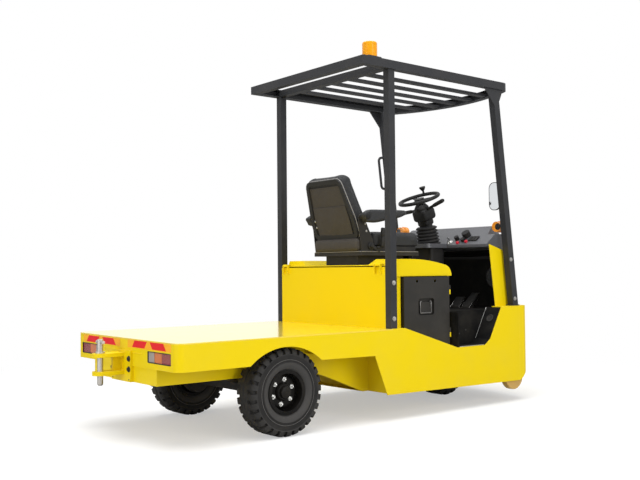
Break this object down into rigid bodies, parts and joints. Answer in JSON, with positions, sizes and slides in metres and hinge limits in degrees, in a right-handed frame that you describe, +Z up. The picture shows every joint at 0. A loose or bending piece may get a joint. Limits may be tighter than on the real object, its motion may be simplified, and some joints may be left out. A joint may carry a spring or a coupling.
{
  "type": "electric baggage tug with load deck",
  "caption": "Battery tug with a flat load deck behind a step-in cab: seat on the battery box, steered wheel under a bowed nose, slatted guard roof on posts, towing hitch with drop pin.",
  "frame": {"origin": "On the floor, at the middle of the overall length and width, hitch included.", "axes": "+X forward, towards the bowed nose; +Y to the driver's left; +Z up."},
  "size_m": [2.8999, 1.11, 2.152],
  "materials": {
    "yellow_paint": "satin",
    "charcoal_paint": "satin",
    "black_paint": "satin",
    "black_steel": "matte",
    "steel": "worn",
    "black_plastic": "matte",
    "grey_plastic": "matte",
    "rubber": "matte",
    "tyre": "matte",
    "seat_cover": "matte",
    "roller_plastic": "matte",
    "amber": "gloss",
    "clear_lens": "gloss",
    "mirror_glass": "polished"
  },
  "bodies": {
    "chassis": {"deck_plate": "yellow_paint", "rear_panel": "yellow_paint", "side_panel_left": "yellow_paint", "side_panel_right": "yellow_paint", "nose_panel": "yellow_paint", "nose_ledge": "yellow_paint", "front_cowl": "yellow_paint", "chassis_frame": "yellow_paint", "rear_axle": "black_steel", "cab_floor": "black_plastic", "battery_box": "yellow_paint", "battery": "black_plastic", "dash_panel": "grey_plastic", "dash_controls": "black_plastic", "steering_column": "black_plastic", "column_bellows": "rubber", "pedals": "black_steel", "rear_posts": "charcoal_paint", "front_posts": "charcoal_paint", "roof_frame": "charcoal_paint", "beacon": "amber", "mirror_body": "black_plastic", "mirror_glass": "mirror_glass", "turn_lamps": "amber", "turn_lamp_housings": "black_plastic", "headlamps": "clear_lens", "tail_lamp_housings": "black_plastic", "tail_lamp_lenses": "clear_lens", "hitch_bracket": "yellow_paint"},
    "tow_pin": {"tow_pin": "steel"},
    "rear_wheel_left": {"rear_tyre_left": "tyre", "rear_rim_left": "black_paint"},
    "rear_wheel_right": {"rear_tyre_right": "tyre", "rear_rim_right": "black_paint"},
    "drive_head": {"drive_fork": "black_steel"},
    "front_wheel": {"front_tyre": "tyre", "front_rim": "black_paint"},
    "steering_wheel": {"steering_wheel": "black_plastic"},
    "roller_left": {"corner_roller_left": "roller_plastic"},
    "roller_right": {"corner_roller_right": "roller_plastic"},
    "hood": {"hood": "yellow_paint", "seat_base": "black_steel", "seat_cushion": "seat_cover", "seat_back": "seat_cover"},
    "armrest_left": {"armrest_left": "seat_cover"},
    "armrest_right": {"armrest_right": "seat_cover"},
    "door_left": {"side_door_left": "charcoal_paint"},
    "door_right": {"side_door_right": "charcoal_paint"}
  },
  "joints": [
    {"name": "rear_wheel_left_spin", "type": "hinge", "parent": "chassis", "child": "rear_wheel_left", "pos_m": [-0.626, 0.462, 0.2285], "axis": [0, 1, 0], "continuous": true},
    {"name": "rear_wheel_right_spin", "type": "hinge", "parent": "chassis", "child": "rear_wheel_right", "pos_m": [-0.626, -0.462, 0.2285], "axis": [0, 1, 0], "continuous": true},
    {"name": "steer", "type": "hinge", "parent": "chassis", "child": "drive_head", "pos_m": [1.085, 0, 0.47], "axis": [0, 0, 1], "range_deg": [-75, 75]},
    {"name": "front_wheel_spin", "type": "hinge", "parent": "drive_head", "child": "front_wheel", "pos_m": [1.085, 0, 0.203], "axis": [0, 1, 0], "continuous": true},
    {"name": "steering_wheel_turn", "type": "hinge", "parent": "chassis", "child": "steering_wheel", "pos_m": [0.902, 0, 1.33], "axis": [-0.342, 0, 0.9397], "range_deg": [-300, 300]},
    {"name": "roller_left_spin", "type": "hinge", "parent": "chassis", "child": "roller_left", "pos_m": [1.207, 0.518, 0.162], "axis": [0, 1, 0], "continuous": true},
    {"name": "roller_right_spin", "type": "hinge", "parent": "chassis", "child": "roller_right", "pos_m": [1.207, -0.518, 0.162], "axis": [0, 1, 0], "continuous": true},
    {"name": "tow_pin_lift", "type": "slide", "parent": "chassis", "child": "tow_pin", "axis": [0, 0, 1], "range_m": [0, 0.17]},
    {"name": "hood_hinge", "type": "hinge", "parent": "chassis", "child": "hood", "pos_m": [0.101, 0, 0.884], "axis": [0, -1, 0], "range_deg": [0, 60]},
    {"name": "armrest_left_fold", "type": "hinge", "parent": "hood", "child": "armrest_left", "pos_m": [0.173, 0.262, 1.175], "axis": [0, -1, 0], "range_deg": [0, 85]},
    {"name": "armrest_right_fold", "type": "hinge", "parent": "hood", "child": "armrest_right", "pos_m": [0.173, -0.262, 1.175], "axis": [0, -1, 0], "range_deg": [0, 85]},
    {"name": "door_left_hinge", "type": "hinge", "parent": "chassis", "child": "door_left", "pos_m": [0.646, 0.497, 0.6], "axis": [0, 0, -1], "range_deg": [0, 100]},
    {"name": "door_right_hinge", "type": "hinge", "parent": "chassis", "child": "door_right", "pos_m": [0.646, -0.497, 0.6], "axis": [0, 0, 1], "range_deg": [0, 100]}
  ],
  "couplings": [
    {"joint": "steering_wheel_turn", "follows": "steer", "ratio": 4}
  ]
}
